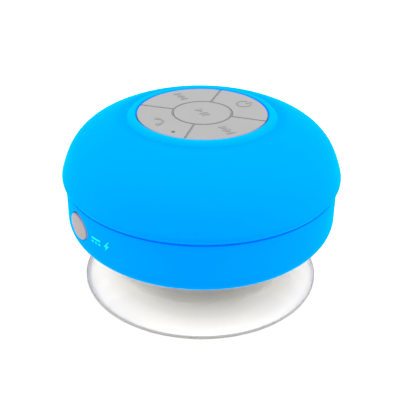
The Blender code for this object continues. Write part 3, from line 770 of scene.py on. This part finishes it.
key_mid = {"power": 90 + KEYPAD_TURN, "next": KEYPAD_TURN, "phone": 270 + KEYPAD_TURN,
           "prev": 180 + KEYPAD_TURN}
slot_turn = {"next": -1.0, "power": -0.8, "prev": 0.0, "phone": 2.0}   # after each key
key_slots = {k: (a - 45 + slot_turn[before], a + 45 + slot_turn[k])
             for (k, a), before in zip(key_mid.items(), ("next", "phone", "prev", "power"))}
key_at = {"play": (0.0, 0.0)}
key_at.update({k: at_angle(KEY_ORBIT, a) for k, a in key_mid.items()})
for name, c in key_at.items():
    outline = (ellipse(CENTRE_KEY_R, CENTRE_KEY_R, 112) if name == "play"
               else sector_outline(*key_slots[name]))
    cap = pillow(f"cap_{name}", outline, KEY_UNDER, KEY_TOP, M["key_silicone"], f"key_{name}",
                 0.28, 0.1, [f"key_{name}"])
    if name == "phone":
        subtract(cap, [upright([(0, KEY_UNDER - 1), (0.55, KEY_UNDER - 1), (0.55, KEY_TOP - 0.25),
                                (0.8, KEY_TOP + 0.02), (0.8, KEY_TOP + 1), (0, KEY_TOP + 1)], 32, *MIC)])
    pillow(f"plunger_{name}", ellipse(2.0, 2.0, 32, *c), PLUNGER_TIP, KEY_UNDER + 0.05,
           M["grey_silicone"], f"key_{name}", 0.02, 0.3)

# the thin web seen in the slots, with holes under the plungers and under the microphone hole
lathe("web_plate", [(0, 52.2), (19.8, 52.2), (19.8, 52.95), (0, 52.95)], M["grey_silicone"],
      "housing", 96, 40, ["keypad_membrane"])
web = bpy.data.objects["web_plate"]
subtract(web, [upright([(0, 51), (2.4, 51), (2.4, 54), (0, 54)], 32, *c) for c in key_at.values()]
         + [upright([(0, 51), (0.8, 51), (0.8, 54), (0, 54)], 20, *MIC)])
WEB_TOP, WEB_HALF = 55.2, 0.17
groove_r = CENTRE_KEY_R + KEY_SLOT / 2
lathe("web_ring", [(groove_r - WEB_HALF, 52.95), (groove_r + WEB_HALF, 52.95),
                   (groove_r + WEB_HALF, WEB_TOP), (groove_r - WEB_HALF, WEB_TOP)],
      M["grey_silicone"], "housing", 128, 40)
for k, name in enumerate(key_mid):
    a = math.radians(key_slots[name][1])
    ux, uy = math.cos(a), math.sin(a)
    rings = []
    for z in (52.95, WEB_TOP):
        rings.append([(r * ux - w * uy, r * uy + w * ux, z)
                      for r, w in ((groove_r + 0.1, -WEB_HALF), (19.55, -WEB_HALF),
                                   (19.55, WEB_HALF), (groove_r + 0.1, WEB_HALF))])
    v, f = rings_solid(rings)
    make(f"web_rib_{k + 1}", v, f, M["grey_silicone"], "housing", 40)


# ------------------------------------------------------------------ key pictograms
def relief(name, shapes, key, centre, turn):
    """Raised flat shapes on a key. turn is the direction of their upper side, in degrees."""
    verts, faces = [], []
    right = at_angle(1.0, turn - 90)
    up = at_angle(1.0, turn)
    for shape in shapes:
        start, n = len(verts), len(shape)
        for z, s in ((KEY_TOP - 0.1, 1.0), (KEY_TOP + 0.09, 1.0)):
            for x, y in shape:
                verts.append((centre[0] + x * right[0] + y * up[0],
                              centre[1] + x * right[1] + y * up[1], z))
        faces += [[start + k, start + (k + 1) % n, start + n + (k + 1) % n, start + n + k]
                  for k in range(n)]
        faces.append([start + k for k in range(n)])
        faces.append([start + n + k for k in range(n)])
    return make(name, verts, faces, M["icon_grey"], f"key_{key}", 30)


def triangle(x, size, height, direction=1):
    return [(x, -height / 2), (x + direction * size, 0), (x, height / 2)]


def band(path, width):
    """A flat ribbon round an open path of (x, y). width is one value or one per point."""
    left, right_side = [], []
    widths = width if isinstance(width, list) else [width] * len(path)
    for i, (p, width) in enumerate(zip(path, widths)):
        a, b = path[max(i - 1, 0)], path[min(i + 1, len(path) - 1)]
        dx, dy = b[0] - a[0], b[1] - a[1]
        length = math.hypot(dx, dy)
        nx, ny = -dy / length * width / 2, dx / length * width / 2
        left.append((p[0] + nx, p[1] + ny))
        right_side.append((p[0] - nx, p[1] - ny))
    return left + right_side[::-1]


ICON_ORBIT = 14.4
UP = 90 + KEYPAD_TURN
relief("icon_play", [triangle(-2.45, 2.15, 2.5), bar(0.75, 0, 0.6, 2.5), bar(2.1, 0, 0.6, 2.5)],
       "play", (0.0, 0.0), UP)
relief("icon_next", [triangle(-2.8, 2.2, 2.7), triangle(-0.5, 2.2, 2.7), bar(2.3, 0, 0.65, 2.7)],
       "next", at_angle(ICON_ORBIT + 0.4, key_mid["next"]), UP)
relief("icon_prev", [triangle(2.7, 2.1, 2.5, -1), triangle(0.5, 2.1, 2.5, -1),
                     bar(-2.15, 0, 0.6, 2.5)],
       "prev", at_angle(ICON_ORBIT, key_mid["prev"]), UP)
relief("icon_power", [band([at_angle(2.15, 90 + d) for d in range(32, 329, 8)], 0.55),
                      bar(0, 1.75, 0.55, 2.1)],
       "power", at_angle(ICON_ORBIT, key_mid["power"]), UP)


def tilted(points, degrees):
    c, s = math.cos(math.radians(degrees)), math.sin(math.radians(degrees))
    return [(x * c - y * s, x * s + y * c) for x, y in points]


handset_x = [2.45 * (k / 14 - 1) for k in range(29)]
handset = band([(x, 0.95 - 0.34 * x * x) for x in handset_x],
               [0.6 + 0.72 / (1 + math.exp(-(abs(x) - 1.62) * 14)) for x in handset_x])
relief("icon_phone", [tilted(handset, -22)],
       "phone", at_angle(ICON_ORBIT - 0.1, key_mid["phone"] + 2.0), UP)

# ------------------------------------------------------------------ base plate with sound holes
plate_loop = rounded([(4.5, 15.0), (32.0, 15.0, 0.6), (33.6, 16.1, 0.4), (33.6, 17.0), (4.5, 17.0)], n=5)
plate = lathe("base_plate", plate_loop, M["grey_abs"], "housing", 192, 35,
              ["grille_plate"])
holes = []
for k in range(28):
    cx, cy = at_angle(30.2, 360 / 28 * (k + 0.5))
    holes.append(upright([(0, 14), (1.5, 14), (1.5, 14.9), (1.15, 15.25), (1.15, 18), (0, 18)], 28, cx, cy))
for a in (90, 210, 330):
    cx, cy = at_angle(23.0, a)
    holes.append(upright([(0, 14), (2.4, 14), (2.4, 16.2), (1.5, 16.2), (1.5, 18), (0, 18)], 32, cx, cy))
subtract(plate, holes)

# ------------------------------------------------------------------ clear suction cup
# One soft piece, baked in place; it is not attached to the hub or the cup.
RECESS_Z = 7.6                       # the floor of the pocket that holds the hub
neck_out = [(NECK_R + 0.37, FLARE_Z), (NECK_R + 0.1, 9.2), (NECK_R, 10.6), (NECK_R, 13.6)]
flare_out = curve([(NECK_R + 0.37, FLARE_Z), (27.9, 5.75), (30.2, 3.95), (33.2, 2.35),
                   (36.3, 1.2)], 7)
flare_under = curve([(35.3, 0.03), (33.4, 0.4), (28.5, 1.85), (21.0, 4.0), (14.0, 5.25),
                     (7.0, 5.72), (0.0, 5.8)], 6)
rim = rounded([flare_out[-1], (37.4, 0.95, 0.35), (37.36, 0.0, 0.3), flare_under[0]], n=5)
cup_loop = (rounded([(0, RECESS_Z), (20.3, RECESS_Z, 0.3), (20.3, 9.2), (21.6, 9.5, 0.15), (21.6, 11.3, 0.15),
                     (20.3, 11.6), (20.3, 13.9, 0.2), (26.35, 13.9, 0.35), (26.4, 10.6)], n=4)[:-1]
            + neck_out[::-1][1:-1] + flare_out[:-1] + rim[1:-1] + flare_under)
CUP_BENDS = ("cup", "hub", 0.0, RECESS_Z - 0.1)      # the cup's two bodies and heights; the pieces are baked in place, not attached or bent
lathe("clear_cup", cup_loop, M["clear_pvc"], CUP_BENDS, 224, 60, ["suction_cup"],
      closed=False)
# the thin grey line round the rim, made as a ring of its own, for the look: its grey is painted shade for the
# dark line that the clear rim shows
edge_loop = rounded([(37.1, 0.15, 0.1), (37.42, 0.15, 0.12), (37.42, EDGE_TOP, 0.2),
                     (37.1, EDGE_TOP, 0.1)], closed=True, n=3)
lathe("cup_edge", edge_loop, M["edge_pvc"], CUP_BENDS, 224, 60)

# ------------------------------------------------------------------ floor, light, camera
floor_mesh = bpy.data.meshes.new("floor")
floor_mesh.from_pydata([(-3, -3, 0), (3, -3, 0), (3, 3, 0), (-3, 3, 0)], [], [(0, 1, 2, 3)])
floor = bpy.data.objects.new("floor", floor_mesh)
bpy.context.scene.collection.objects.link(floor)
floor_mesh.materials.append(procedural(
    "floor", (0.79, 0.765, 0.69), 0.8, vary=0.004, bump=0.0, blotch=3.0,
    Specular_IOR_Level=0.0))
floor.location.z = -0.0002

TURN = 58.7                          # the view is this far round from the port


def turned(x, y, z):
    a = math.radians(TURN)
    return Vector((x * math.cos(a) - y * math.sin(a), x * math.sin(a) + y * math.cos(a), z)) * MM


cam_data = bpy.data.cameras.new("camera")
cam = bpy.data.objects.new("camera", cam_data)
bpy.context.scene.collection.objects.link(cam)
cam_data.lens = 793.7 / 400 * 36
cam_data.sensor_width = 36
cam_data.shift_x = -0.00325
cam_data.clip_start, cam_data.clip_end = 0.01, 20
cam.matrix_world = (Matrix.Translation(turned(0, -219.7, 147.0))
                    @ Matrix.Rotation(math.radians(TURN), 4, "Z")
                    @ Matrix.Rotation(math.radians(90 - 28.92), 4, "X")
                    @ Matrix.Rotation(math.radians(0.66), 4, "Z"))
bpy.context.scene.camera = cam

world = bpy.data.worlds.new("studio")
bpy.context.scene.world = world
world.use_nodes = True
background = world.node_tree.nodes["Background"]
background.inputs["Color"].default_value = (1, 1, 1, 1)
background.inputs["Strength"].default_value = 1.32


def softbox(name, x, y, z, size, power):
    data = bpy.data.lights.new(name, "AREA")
    data.shape, data.size, data.energy = "DISK", size, power
    obj = bpy.data.objects.new(name, data)
    bpy.context.scene.collection.objects.link(obj)
    obj.location = turned(x, y, z)
    aim = Vector((0, 0, 0.03)) - obj.location
    obj.rotation_mode = "QUATERNION"
    obj.rotation_quaternion = aim.to_track_quat("-Z", "Y")
    return obj


softbox("key", 70, -60, 735, 0.6, 4.0)
softbox("back_left", -300, 150, 300, 0.3, 0.25)
softbox("back_right", 300, 150, 300, 0.3, 0.1)
softbox("left", -520, -150, 250, 0.6, 3.4)
softbox("right", 520, -150, 250, 0.6, 3.5)

view = bpy.context.scene.view_settings
view.view_transform = "Standard"
view.look = "None"
view.exposure = 0.0
view.gamma = 1.0
